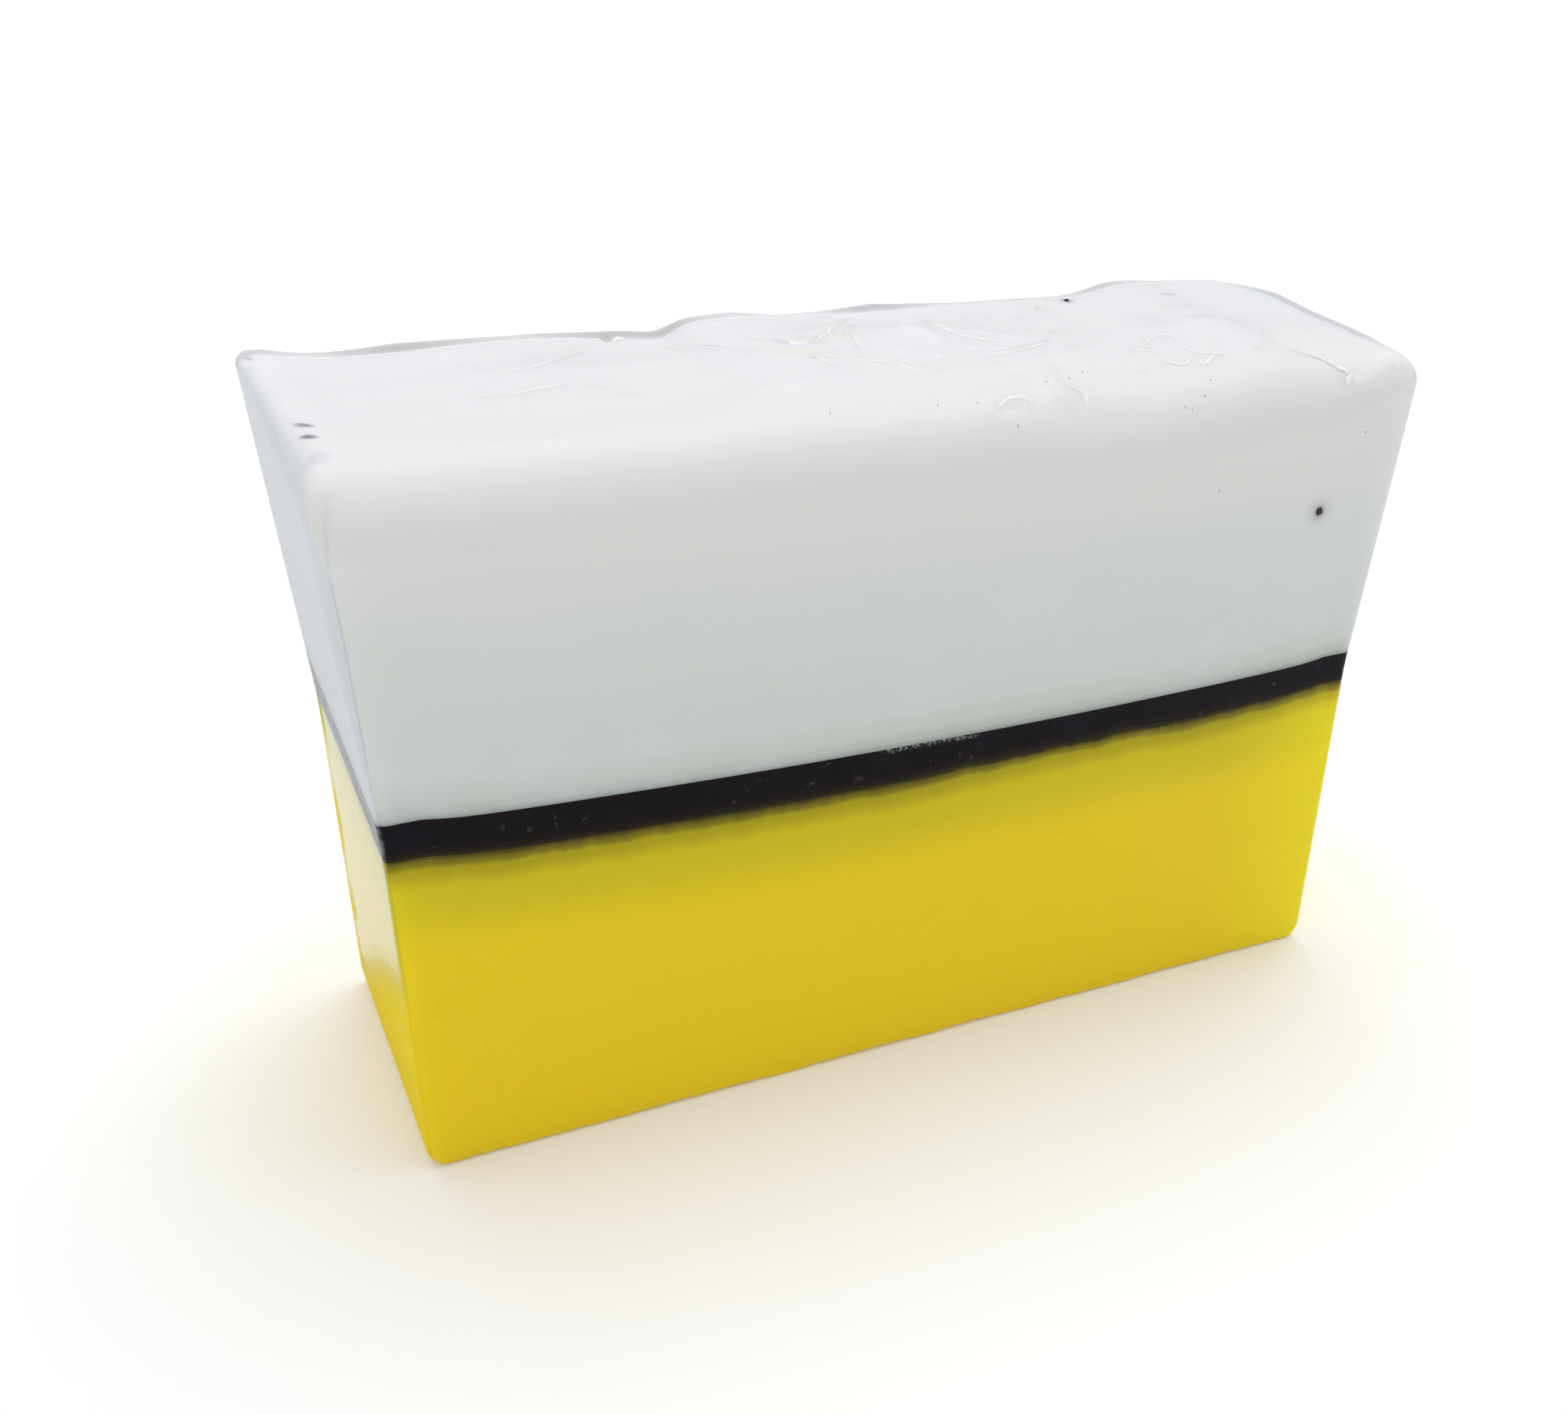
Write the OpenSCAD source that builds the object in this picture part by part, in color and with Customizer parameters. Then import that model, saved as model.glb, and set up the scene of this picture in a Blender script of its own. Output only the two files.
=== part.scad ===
// Hand-poured soap bar cut from a loaf: a yellow base layer, a thin black middle layer and a thick
// white top layer with black soap crumbs in it. Width runs along X, the cut thickness along Y and
// height along Z. The origin is the centre of the face that the bar stands on.

/* [Bar] */
// Thickness between the two cut faces
slice_t = 25; // [15:1:40]
// Half width of the base, towards the left end
left_half = 37.25; // [32:0.25:45]
// Half width of the base, towards the right end
right_half = 38.5; // [32:0.25:45]
// Mean height of the poured top above the base
bar_h = 50; // [44:0.5:60]
// Radius of the two bottom corners, left by the corners of the pouring tray
corner_r = 1.6; // [0.5:0.1:4]

/* [Layers] */
// Height of the yellow layer where it is lowest
yellow_h = 23.4; // [15:0.1:25]
// Thickness of the black layer where its two surfaces are lowest
black_t = 2.8; // [1.5:0.1:5]
// How far the yellow pour's surface dishes up from its low point to an end
yellow_dish = 1.3; // [0:0.1:2]
// How far the black pour's surface dishes up from its low point to an end
black_dish = 1; // [0:0.1:2]
// How far each pour climbs the tray wall at its ends
wall_climb = 0.4; // [0:0.05:0.8]
// Angle that the yellow pour's surface rises at, from the front cut to the back cut
yellow_tilt = 3.7; // [0:0.1:5]
// Angle that the black pour's surface rises at, from the front cut to the back cut
black_tilt = 5; // [0:0.1:6]

/* [Ends] */
// Outward lean of the left end, in mm per mm of height
left_draft = 0.033; // [0:0.001:0.06]
// Outward lean of the right end, in mm per mm of height
right_draft = 0.004; // [0:0.001:0.06]
// Extra outward flare of the left end at the mean height of the top
left_flare = 1.7; // [0:0.05:4]
// Extra outward flare of the right end at the mean height of the top
right_flare = 2.2; // [0:0.05:4]
// Height at which both ends begin to flare
flare_z = 26; // [24:0.5:27]

/* [Poured top] */
// Radius of the soft edge between the top and the front cut face, at the left
front_round = 3; // [1.5:0.1:4]
// Radius of the same edge at the right, where it is sharper
front_round_right = 1.5; // [1:0.1:3]
// Radius of the edge between the top and the back cut face
back_round = 0.8; // [0.4:0.1:3]
// Radius of the edge between the top and the left end
left_round = 1.1; // [0.5:0.1:3]
// Radius of the edge between the top and the right end
right_round = 1.5; // [0.5:0.1:5]
// Height of the hand-spread ridges, as a share of their modelled height
ridge_share = 1; // [0:0.1:1.5]

/* [Crumbs] */
// Radius of the largest black soap crumb
crumb_r = 0.6; // [0.4:0.05:0.8]

/* [Hidden] */

half_t = slice_t / 2;
top_half = max(left_half + left_draft * bar_h + left_flare, right_half + right_draft * bar_h + right_flare);
climb_len = 1.4;      // how quickly a pour's climb fades away from the tray wall
yellow_low_x = 5;     // where the yellow pour's surface is lowest
black_low_x = 10;     // where the black pour's surface is lowest
soften_x = [-20, 30]; // where the front edge changes from its left radius to its right one
arc_steps = 5;        // segments in each rounded corner or edge
end_levels = 6;       // levels up each end of the white layer
top_columns = 46;     // columns of the poured top, between its end edges
top_rows = 15;        // rows of the poured top, between its front and back edges
beyond = 10;          // how far a cutting solid reaches past what it cuts

// Height of the top along the front cut face, as [x, height above bar_h]
front_line = [[-40.7, 1], [-36, 0.1], [-30, -0.3], [-15, -0.5], [-11, 0.4], [-4, 0.5],
              [10, 0.2], [18, 0.2], [25, 0.7], [29.5, 1.3], [33, 0.5], [40.7, 0.6]];
// Height of the top along the back cut face, as [x, height above bar_h]
back_line = [[-40.7, 2.7], [-39, 1.9], [-34, 1.5], [-22, 1.7], [-14, 1.2], [-10.5, 0.7], [-9, 1.8],
             [-5, 2.1], [0, 1.6], [17, 1.4], [25, 1.2], [30, 2], [36, 1.8], [40.7, 1.3]];
// Hand-spread ridges, as [x, y, half length, half width, angle, height]
ridges = [[-24, 4, 15, 1.8, 4, 0.35], [-20, -3, 13, 2.5, 9, -0.25], [-3, 2, 11, 1.5, 16, 0.45],
          [8, 4, 8, 2.4, -14, 0.6], [14, -3, 8, 1.3, 8, 0.35], [27, -1, 6, 2, -24, 0.45],
          [9, -9, 3, 2, 0, 0.45], [20, 5, 7, 3, 20, -0.35], [39, 5, 5, 4, 90, 0.5]];
// Crumbs in the poured top, as [share of the way to an end, share of half_t, share of crumb_r]
top_crumbs = [[0.595, 0.856, 0.65], [0.785, 0.616, 0.4], [-0.947, -0.216, 1], [-0.949, -0.376, 0.9]];
// The crumb that the front cut went through, with a share of bar_h in place of one of half_t
cut_crumbs = [[0.83, 0.788, 0.6]];
buried = 0.35; // depth of a crumb's centre under the soap's surface, as a share of its radius

yellow_color = [0.86, 0.75, 0.1];
black_color = [0.09, 0.07, 0.1];
white_color = [0.93, 0.94, 0.94];

function limit(t) = min(max(t, 0), 1);
function smooth(t) = limit(t) * limit(t) * (3 - 2 * limit(t));
function last(list) = len(list) - 1;
function reverse(list) = [for (i = [last(list) : -1 : 0]) list[i]];

// Height on a line of [x, height] points, eased between neighbours
function on_line(line, x, i = 0) =
    x <= line[0][0] ? line[0][1]
    : i >= last(line) ? line[last(line)][1]
    : x <= line[i + 1][0]
        ? let (t = smooth((x - line[i][0]) / (line[i + 1][0] - line[i][0])))
          line[i][1] * (1 - t) + line[i + 1][1] * t
    : on_line(line, x, i + 1);

// Distance of an end from the middle of the bar at height z, where side is -1 or 1
function end_x(side, z) =
    let (flared = max(z - flare_z, 0) / (bar_h - flare_z))
    side < 0 ? left_half + left_draft * z + left_flare * flared
             : right_half + right_draft * z + right_flare * flared;

// Surface of a lower pour along the front cut: dished, with a climb at each end
function pour_z(x, low_z, low_x, dish) =
    let (side = x < 0 ? -1 : 1, from_wall = max(end_x(side, low_z) - abs(x), 0))
    low_z + dish * pow((x - low_x) / top_half, 2) + wall_climb * exp(-from_wall / climb_len);
function yellow_z(x) = pour_z(x, yellow_h, yellow_low_x, yellow_dish);
function black_z(x) = pour_z(x, yellow_h + black_t, black_low_x, black_dish);

// Height of one hand-spread ridge at a point, which is a hollow if its height is negative
function ridge_z(r, x, y) =
    let (along = (x - r[0]) * cos(r[4]) + (y - r[1]) * sin(r[4]),
         over = (y - r[1]) * cos(r[4]) - (x - r[0]) * sin(r[4]))
    r[5] * exp(-pow(along / r[2], 2) - pow(over / r[3], 2));
function ridges_z(x, y, i = 0) = i > last(ridges) ? 0 : ridge_z(ridges[i], x, y) + ridges_z(x, y, i + 1);

// How far a rounded edge of radius r has dropped, at a distance d from the face it meets
function edge_drop(d, r) = d >= r ? 0 : r - sqrt(r * r - (r - d) * (r - d));
function front_r(x) = let (t = smooth((x - soften_x[0]) / (soften_x[1] - soften_x[0])))
    front_round * (1 - t) + front_round_right * t;

// Height of the poured top, with its four rounded edges
function top_z(x, y) =
    bar_h
    + on_line(front_line, x) * (half_t - y) / slice_t
    + on_line(back_line, x) * (half_t + y) / slice_t
    + ridge_share * ridges_z(x, y) * smooth((half_t - abs(y)) / 3)
    - edge_drop(y + half_t, front_r(x)) - edge_drop(half_t - y, back_round)
    - edge_drop(x + top_half, left_round) - edge_drop(top_half - x, right_round);

// A point of the top: the columns lean out with the ends
function top_point(x, y) = let (z = top_z(x, y)) [x / top_half * end_x(x < 0 ? -1 : 1, z), y, z];

// Places from one rounded edge to the other, closer together where the edge curves
function spaced(low, high, low_r, high_r, steps) = concat(
    [for (i = [0 : arc_steps - 1]) low + low_r * (1 - cos(90 * i / arc_steps))],
    [for (i = [0 : steps]) low + low_r + (high - high_r - low - low_r) * i / steps],
    [for (i = [arc_steps - 1 : -1 : 0]) high - high_r * (1 - cos(90 * i / arc_steps))]);
column_x = spaced(-top_half, top_half, left_round, right_round, top_columns);
row_y = spaced(-half_t, half_t, front_round, back_round, top_rows);

// The lower pours' surfaces have a strip under each column of the top
strip_x = [for (x = column_x) x / top_half * end_x(x < 0 ? -1 : 1, yellow_h)];
yellow_line = [for (x = strip_x) [x, yellow_z(x)]];
black_line = [for (x = strip_x) [x, black_z(x)]];

// A section across the bar, drawn out along Y to a length
module section(outline, length) {
    rotate([90, 0, 0]) linear_extrude(length, center = true) polygon(outline);
}

// One end of the bar's outline, from the base up to the mean height of the top
function end_outline(side) = concat(
    [for (i = [0 : arc_steps])
        let (a = 90 * i / arc_steps)
        [side * (end_x(side, corner_r) - corner_r + corner_r * sin(a)), corner_r * (1 - cos(a))]],
    [for (z = [flare_z, bar_h]) [side * end_x(side, z), z]]);

module bar_outline() {
    section(concat(end_outline(1), reverse(end_outline(-1))), slice_t);
}

// Everything below a pour's surface, which rises towards the back at the angle tilt
module below(line, tilt) {
    reach = top_half + beyond;
    surface = [for (p = line) [p[0], p[1] * cos(tilt)]];
    low = surface[0][1];
    high = surface[last(surface)][1];
    translate([0, -half_t, 0]) rotate([tilt, 0, 0])
    section(concat([[-reach, -beyond], [-reach, low]], surface, [[reach, high], [reach, -beyond]]),
            3 * slice_t);
}

module yellow_base_layer() {
    color(yellow_color)
    intersection() {
        bar_outline();
        below(yellow_line, yellow_tilt);
    }
}

module black_middle_layer() {
    color(black_color)
    difference() {
        intersection() {
            bar_outline();
            below(black_line, black_tilt);
        }
        below(yellow_line, yellow_tilt);
    }
}

// The white layer before its crumb pockets: a grid of points for the top, levels of points up each
// end, and under each column a strip of the front face, of the back face and of the black pour
module white_block() {
    rows = len(row_y);
    columns = len(column_x);
    rise = tan(black_tilt);
    top = [for (y = row_y) for (x = column_x) top_point(x, y)];
    front = [for (p = black_line) [p[0], -half_t, p[1]]];
    back = [for (p = black_line) [p[0], half_t, p[1] + slice_t * rise]];
    // Level 0 is the edge on the black pour, and level end_levels is the top's edge
    ends = [for (side = [-1, 1]) for (level = [0 : end_levels - 1]) for (row = [0 : rows - 1])
        let (low = black_line[side < 0 ? 0 : columns - 1][1] + (row_y[row] + half_t) * rise,
             rim = top[row * columns + (side < 0 ? 0 : columns - 1)][2],
             z = low + (rim - low) * level / end_levels)
        [side * end_x(side, z), row_y[row], z]];
    first_end = len(top);
    first_front = first_end + len(ends);
    first_back = first_front + len(front);

    function on_end(side, level, row) = level == end_levels
        ? row * columns + (side < 0 ? 0 : columns - 1)
        : first_end + ((side < 0 ? 0 : end_levels) + level) * rows + row;
    function on_front(col) = first_front + col;
    function on_back(col) = first_back + col;

    top_faces = [for (row = [0 : rows - 2]) for (col = [0 : columns - 2])
        let (a = row * columns + col, b = a + columns)
        each [[a, b, b + 1], [a, b + 1, a + 1]]];
    end_faces = [for (side = [-1, 1]) for (level = [0 : end_levels - 1]) for (row = [0 : rows - 2])
        let (a = on_end(side, level, row), b = on_end(side, level, row + 1),
             c = on_end(side, level + 1, row + 1), d = on_end(side, level + 1, row))
        each side < 0 ? [[a, b, c], [a, c, d]] : [[a, c, b], [a, d, c]]];
    function back_col(col) = (rows - 1) * columns + col;
    inner = columns - 2;
    front_faces = concat(
        [concat([on_front(1), on_front(0)], [for (level = [0 : end_levels]) on_end(-1, level, 0)], [1])],
        [for (col = [1 : inner - 1]) [on_front(col + 1), on_front(col), col, col + 1]],
        [concat([on_front(inner), inner], [for (level = [end_levels : -1 : 0]) on_end(1, level, 0)],
                [on_front(columns - 1)])]);
    back_faces = concat(
        [concat([on_back(1), back_col(1)], [for (level = [end_levels : -1 : 0]) on_end(-1, level, rows - 1)],
                [on_back(0)])],
        [for (col = [1 : inner - 1]) [on_back(col), on_back(col + 1), back_col(col + 1), back_col(col)]],
        [concat([on_back(inner), on_back(columns - 1)],
                [for (level = [0 : end_levels]) on_end(1, level, rows - 1)], [back_col(inner)])]);
    strip_faces = [for (col = [0 : columns - 2])
        [on_front(col), on_front(col + 1), on_back(col + 1), on_back(col)]];
    // Each end leans out, so it adds a narrow flat face beside the outermost strip
    left_faces = concat([[on_front(0), on_back(0), on_end(-1, 0, rows - 1)]],
        [for (row = [0 : rows - 2]) [on_front(0), on_end(-1, 0, row + 1), on_end(-1, 0, row)]]);
    right_faces = concat([[on_front(columns - 1), on_end(1, 0, rows - 1), on_back(columns - 1)]],
        [for (row = [0 : rows - 2]) [on_front(columns - 1), on_end(1, 0, row), on_end(1, 0, row + 1)]]);
    polyhedron(concat(top, ends, front, back),
        concat(top_faces, end_faces, front_faces, back_faces, strip_faces, left_faces, right_faces));
}

// The crumbs as whole balls. One that is cut has its poles along Y, so the cut is a circle round a pole
module crumb_balls() {
    for (c = top_crumbs)
        translate(top_point(c[0] * top_half, c[1] * half_t) - [0, 0, buried * crumb_r * c[2]])
        sphere(crumb_r * c[2], $fn = 20);
    for (c = cut_crumbs)
        let (z = c[1] * bar_h)
        translate([c[0] * end_x(c[0] < 0 ? -1 : 1, z), buried * crumb_r * c[2] - half_t, z])
        rotate([90, 0, 0]) sphere(crumb_r * c[2], $fn = 20);
}

module white_top_layer() {
    color(white_color)
    difference() {
        white_block();
        crumb_balls();
    }
}

// The crumbs, cut off level with the front cut face like the soap around them
module black_soap_crumbs() {
    color(black_color)
    intersection() {
        crumb_balls();
        translate([-top_half, -half_t, 0]) cube([2 * top_half, slice_t, 2 * bar_h]);
    }
}

yellow_base_layer();
black_middle_layer();
white_top_layer();
black_soap_crumbs();
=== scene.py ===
"""A hand-poured soap bar cut from a loaf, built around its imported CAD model: a yellow base layer, a thin
black layer and a thick white layer with a hand-spread top and black soap crumbs in it.
Everything is in metres in the CAD frame: X along the bar, Y from the front cut to the back cut, Z up."""

import math

import bmesh
import bpy
import numpy as np
from mathutils import Matrix, Vector, noise
from mathutils.bvhtree import BVHTree


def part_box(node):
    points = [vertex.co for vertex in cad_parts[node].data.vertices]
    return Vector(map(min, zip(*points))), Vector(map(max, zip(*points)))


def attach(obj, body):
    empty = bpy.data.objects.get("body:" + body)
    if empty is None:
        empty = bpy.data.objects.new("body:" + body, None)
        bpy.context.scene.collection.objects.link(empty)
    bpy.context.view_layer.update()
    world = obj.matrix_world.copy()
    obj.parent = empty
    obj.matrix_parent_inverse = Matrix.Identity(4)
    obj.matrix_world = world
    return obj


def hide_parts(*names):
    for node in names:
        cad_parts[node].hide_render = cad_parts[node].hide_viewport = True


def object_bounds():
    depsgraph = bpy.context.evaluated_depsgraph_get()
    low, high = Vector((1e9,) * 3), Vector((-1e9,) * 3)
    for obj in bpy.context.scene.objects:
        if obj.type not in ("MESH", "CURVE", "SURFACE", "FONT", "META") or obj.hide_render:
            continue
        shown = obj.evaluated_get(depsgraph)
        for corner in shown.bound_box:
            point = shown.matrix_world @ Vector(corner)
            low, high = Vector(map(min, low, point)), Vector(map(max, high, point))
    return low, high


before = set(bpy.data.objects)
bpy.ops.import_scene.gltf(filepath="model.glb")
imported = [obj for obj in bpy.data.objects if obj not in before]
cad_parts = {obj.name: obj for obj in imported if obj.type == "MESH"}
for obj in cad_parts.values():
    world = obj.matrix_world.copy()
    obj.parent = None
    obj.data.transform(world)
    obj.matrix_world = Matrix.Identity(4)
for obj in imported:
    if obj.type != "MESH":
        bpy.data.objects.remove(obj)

cad_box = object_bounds()
MM = 0.001

# ---------------------------------------------------------------- driving values

BASE_END_R = 1.6 * MM  # the two bottom corners that the tray left
BASE_CUT_R = 0.5 * MM  # the bevel along the bottom of each cut face
NOTCH = (38.8 * MM, 0.35 * MM, 0.4 * MM)  # a nick in the front's bevel: place along X, depth, half width
FOOT_POWER = 12  # how quickly the rounded bottom corners fade along the cut faces
CORNER_R = 0.6 * MM  # the upright corners
SOFT_CORNER_R = 2.4 * MM  # the front left one, at the top
CORNER_Z = (26 * MM, 44 * MM)  # between these heights it softens
BACK_ROUND = 0.8 * MM  # the edge of the top along the back cut
LEFT_ROUND = (3.2 * MM, 1.0 * MM)  # the edge of the top along the left end, at the front and at the back
RIGHT_ROUND = 1.5 * MM  # the edge of the top along the right end

# Shape of the top, as (place, size) in mm, along X apart from the right end's, which is along Y:
# the radius of the soft edge along the front cut, and how far the top sags towards that edge
FRONT_ROUND = [(-40, 5.5), (30, 5.5), (41, 2.4)]
FRONT_SAG = [(-40, 0.4), (-24, 0.1), (-16, 0.0), (-8, 0.7), (8, 0.8), (20, 0.9), (34, 0.7), (41, 0.1)]
# the height of the raised back edge, and of the raised edge along the right end
BACK_LIP = [(-39, 0.3), (-36, 0.2), (-30, 0.5), (-22, 0.2), (-16, 0.4), (-10, 0.5), (-8, 0.3), (-1, 0.1),
            (2, 0.15), (7, 0.5), (14, 0.15), (24, 0.15), (28, 0.35), (34, 0.1), (40, 0.1)]
RIGHT_LIP = [(-11.5, 0), (-7, 0.4), (4, 0.5), (10, 0.25), (12.5, 0.1)]
FRONT_ROUND_MAX = max(size for _, size in FRONT_ROUND) * MM
SAG_Y = (-9 * MM, -4 * MM)  # the front sag is full at the first and gone at the second
SETTLE = (1.5 * MM, 1.2 * MM)  # the relief fades out this close to the ends and to the cuts
LIP_WIDTH = 1.2 * MM
SHADED_LIP = 0.2 * MM  # a lip this high gets the full painted shade grey

COLUMNS = 300  # columns of the top between its end zones
ROWS = 96  # rows of the top between its front and back zones
END_STEPS = 16  # columns across each rounded end
BACK_STEPS = 12  # rows across the rounded back edge
FRONT_STEPS = 26  # rows across the soft front edge
FOOT_RINGS = 10  # rings over the yellow layer's rounded foot
YELLOW_RINGS = 25  # and from there up to the band
BLACK_RINGS = 9
WHITE_RINGS = 30

low, high = cad_box
HALF_T = (high.y - low.y) / 2
MID_Y = (high.y + low.y) / 2
TOP_Z = high.z


def smooth(t):
    """Eased step from 0 to 1, for numbers and arrays."""
    t = np.clip(t, 0, 1)
    return t * t * (3 - 2 * t)


def edge_drop(distance, radius):
    """How far a rounded edge has dropped, at a distance from the face it meets."""
    inside = np.clip(radius - distance, 0, radius)
    return radius - np.sqrt(np.maximum(radius * radius - inside * inside, 0))


def by_hand(shape, x):
    """A listed shape, given as (place, height) in mm, at places x in metres."""
    places, heights = zip(*shape)
    return np.interp(x / MM, places, heights) * MM


def left_round(y):
    """Radius of the edge along the left end: soft at the front and tighter at the back."""
    return LEFT_ROUND[0] + (LEFT_ROUND[1] - LEFT_ROUND[0]) * smooth((y + HALF_T) / (2 * HALF_T))


def corner_r(x, y, z):
    """Radius of the upright corners. The front left one softens towards the top."""
    softer = smooth((z - CORNER_Z[0]) / (CORNER_Z[1] - CORNER_Z[0])) * ((x < 0) & (y < 0))
    return CORNER_R + (SOFT_CORNER_R - CORNER_R) * softer


def cloud(x, y, z, size, seed=0.0):
    """Smooth noise from about -1 to 1 at arrays of points, with lumps of about that size."""
    flat = np.stack(np.broadcast_arrays(x, y, z), -1).reshape(-1, 3) / size + seed
    values = [noise.noise(Vector(p)) for p in flat]
    return np.array(values).reshape(np.broadcast(x, y, z).shape)


# ---------------------------------------------------------------- the shape of the frame


def tree(node):
    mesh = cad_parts[node].data
    return BVHTree.FromPolygons([v.co for v in mesh.vertices], [p.vertices for p in mesh.polygons])


HAIR = 1e-6 * MM  # two places closer than this are the same
OFF_EDGE = 0.007 * MM  # keeps a ray off the edges between faces, where it could slip through
TREES = {name: tree(name) for name in ("yellow_base_layer", "black_middle_layer", "white_top_layer")}


def height(node, x, y):
    """Height of the top of a node at a point, by a ray from above."""
    hit = TREES[node].ray_cast(Vector((x + OFF_EDGE, y + OFF_EDGE, 1)), Vector((0, 0, -1)))[0]
    return hit.z


def end_at(side, z):
    """Distance of an end from the origin at a height, by rays from outside on to each layer."""
    start, inwards = Vector((side, MID_Y + OFF_EDGE, z + OFF_EDGE)), Vector((-side, 0, 0))
    hits = [TREES[node].ray_cast(start, inwards)[0] for node in TREES]
    return max(abs(hit.x) for hit in hits if hit is not None)


END_Z = np.linspace(BASE_END_R + 0.2 * MM, TOP_Z - 4.5 * MM, 40)  # clear of the rounded foot and of the top
END_X = {side: np.array([end_at(side, z) for z in END_Z]) for side in (-1, 1)}


def end_x(side, z):
    """Distance of an end at heights z, carried on straight above and below what was measured, but never
    past the CAD box."""
    xs = END_X[side]
    slope_low = (xs[1] - xs[0]) / (END_Z[1] - END_Z[0])
    slope_high = (xs[-1] - xs[-2]) / (END_Z[-1] - END_Z[-2])
    inside = np.interp(z, END_Z, xs)
    below = np.minimum(z - END_Z[0], 0) * slope_low
    above = np.maximum(z - END_Z[-1], 0) * slope_high
    return np.minimum(inside + below + above, high.x if side > 0 else -low.x)


LEFT = float(end_x(-1, TOP_Z))
RIGHT = float(end_x(1, TOP_Z))


def crumbs_in_frame():
    """(centre, radius) of each black crumb of the CAD model."""
    bm = bmesh.new()
    bm.from_mesh(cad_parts["black_soap_crumbs"].data)
    bmesh.ops.remove_doubles(bm, verts=bm.verts, dist=0.001 * MM)
    left = set(bm.verts)
    found = []
    while left:
        island, queue = [], [left.pop()]
        while queue:
            vert = queue.pop()
            island.append(vert)
            for edge in vert.link_edges:
                other = edge.other_vert(vert)
                if other in left:
                    left.remove(other)
                    queue.append(other)
        co = np.array([v.co for v in island])
        size = co.max(0) - co.min(0)
        found.append((Vector((co.max(0) + co.min(0)) / 2), float(size.max()) / 2))
    bm.free()
    return sorted(found, key=lambda crumb: crumb[0].x)


CRUMBS = crumbs_in_frame()


# ---------------------------------------------------------------- the grid that all layers share


def spaced(start, end, start_zone, end_zone, start_steps, end_steps, steps):
    """Places from start to end, closer together in the zone at each end."""
    first = start + start_zone * (1 - np.cos(np.linspace(0, math.pi / 2, start_steps + 1)))[:-1]
    middle = np.linspace(start + start_zone, end - end_zone, steps + 1)
    last = end - end_zone * (1 - np.cos(np.linspace(math.pi / 2, 0, end_steps + 1)))[1:]
    return np.concatenate([first, middle, last])


column_x = spaced(-LEFT, RIGHT, LEFT_ROUND[0] + SOFT_CORNER_R, RIGHT_ROUND + CORNER_R,
                  END_STEPS, END_STEPS, COLUMNS)
row_y = spaced(-HALF_T, HALF_T, FRONT_ROUND_MAX, BACK_ROUND + CORNER_R, FRONT_STEPS, BACK_STEPS, ROWS)
NX, NY = len(column_x), len(row_y)


def rounded(x, y, z):
    """Places on the bar's rounded outline at heights z, for grid places x, y in the top's rectangle."""
    left, right = end_x(-1, z), end_x(1, z)
    side = np.where(x < 0, left, right)
    x = np.where(x < 0, x / LEFT * left, x / RIGHT * right)
    radius = corner_r(x, y, z)
    p = (np.abs(x) - (side - radius)) / radius
    q = (np.abs(y) - (HALF_T - radius)) / radius
    corner = (p > 0) & (q > 0)
    reach = np.where(corner, np.maximum(p, q) / np.maximum(np.hypot(p, q), 1e-12), 1)
    new_x = np.where(corner, np.sign(x) * (side - radius + p * reach * radius), x)
    new_y = np.where(corner, np.sign(y) * (HALF_T - radius + q * reach * radius), y)
    return new_x, new_y


def perimeter():
    """Grid places round the edge of the top, anticlockwise from the front left corner, as (column, row)."""
    front = [(i, 0) for i in range(NX - 1)]
    right = [(NX - 1, j) for j in range(NY - 1)]
    back = [(i, NY - 1) for i in range(NX - 1, 0, -1)]
    left = [(0, j) for j in range(NY - 1, 0, -1)]
    return front + right + back + left


RIM = perimeter()
rim_i = np.array([p[0] for p in RIM])
rim_j = np.array([p[1] for p in RIM])


def wave(x, y, z):
    """How far the wire left a cut face hollow: soft, shallow waves."""
    return 0.035 * MM * (1 + cloud(x, y, z, 14 * MM, 3.7)) + 0.012 * MM * (1 + cloud(x, y, z, 4 * MM, 9.1))


def bevel_r(x, y):
    """The bevel along the bottom of a cut face is uneven, with one nick in the front."""
    uneven = 1 + 0.45 * cloud(x, y, 0 * x, 5 * MM, 1.3) + 0.3 * cloud(x, y, 0 * x, 1.3 * MM, 6.1)
    place, depth, half_width = NOTCH
    nick = np.where(y < 0, depth * np.exp(-((x - place) / half_width) ** 2), 0)
    return BASE_CUT_R * uneven + nick


def wall_point(x, y, z):
    """Places on the bar's outside for grid places x, y at heights z."""
    share = np.where(x < 0, -x / LEFT, x / RIGHT)
    px, py = rounded(x, y, z)
    on_cut = np.abs(y) >= HALF_T - HAIR
    hollow = np.where(on_cut, wave(px, y, z), 0)
    bevel = edge_drop(z - low.z, bevel_r(x, y))
    py = py - np.sign(py) * (bevel + hollow) * (np.abs(y) / HALF_T)
    px = px - np.sign(px) * edge_drop(z - low.z, BASE_END_R) * share ** FOOT_POWER
    return px, py


# ---------------------------------------------------------------- the poured surfaces


INSIDE_ENDS = 0.65 * MM  # the surface is sampled this far inside the ends
INSIDE_CUTS = 0.25 * MM  # and this far inside the cuts
YELLOW_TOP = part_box("yellow_base_layer")[1].z
LEFT_LOW = float(end_x(-1, YELLOW_TOP)) - INSIDE_ENDS
RIGHT_LOW = float(end_x(1, YELLOW_TOP)) - INSIDE_ENDS


def pour_surface(node):
    """Height of a lower pour's surface at the rim's places."""
    heights = []
    for i, j in RIM:
        x = min(max(column_x[i], -LEFT_LOW), RIGHT_LOW)
        y = min(max(row_y[j], -HALF_T + INSIDE_CUTS), HALF_T - INSIDE_CUTS)
        heights.append(height(node, x, y))
    return np.array(heights)


yellow_rim = pour_surface("yellow_base_layer")
black_rim = pour_surface("black_middle_layer")


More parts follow.
